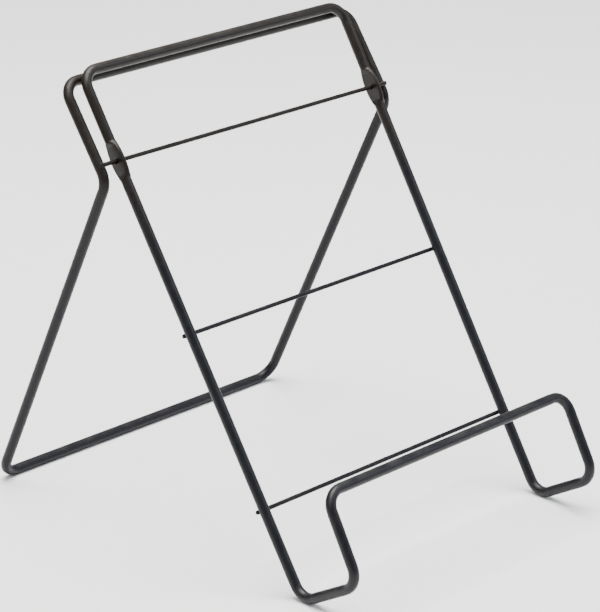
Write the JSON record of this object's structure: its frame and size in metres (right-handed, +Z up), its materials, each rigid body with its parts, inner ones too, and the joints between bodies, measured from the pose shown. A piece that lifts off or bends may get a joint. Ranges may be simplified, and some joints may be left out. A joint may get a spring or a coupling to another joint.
{
  "type": "photo album stand",
  "caption": "Folding wire easel that holds a photo album leaning back on two ledges behind a front bar, with a hinged rear leg frame.",
  "frame": {"origin": "on the floor, under the middle of the open stand's outline", "axes": "+Z up, +X to the right as seen from the front, +Y to the back, where the rear legs stand"},
  "size_m": [0.2096, 0.2578, 0.2432],
  "materials": {
    "frame_wire": "satin black paint on bent steel wire",
    "thin_wire": "satin black paint on thin steel wire",
    "weld_metal": "satin black paint over a cross-wire weld"
  },
  "bodies": {
    "front": {"front_frame": "frame_wire", "middle_crossbar": "thin_wire", "middle_crossbar_weld_left": "weld_metal", "middle_crossbar_weld_right": "weld_metal", "lower_crossbar": "thin_wire", "lower_crossbar_weld_left": "weld_metal", "lower_crossbar_weld_right": "weld_metal"},
    "rear": {"rear_frame": "frame_wire", "pivot_rod": "thin_wire", "pivot_weld_left": "weld_metal", "pivot_weld_right": "weld_metal"}
  },
  "joints": [
    {"name": "rear_leg_fold", "type": "hinge", "parent": "front", "child": "rear", "pos_m": [0, 0.03704, 0.2], "axis": [-1, 0, 0], "range_deg": [0, 55.2]}
  ]
}
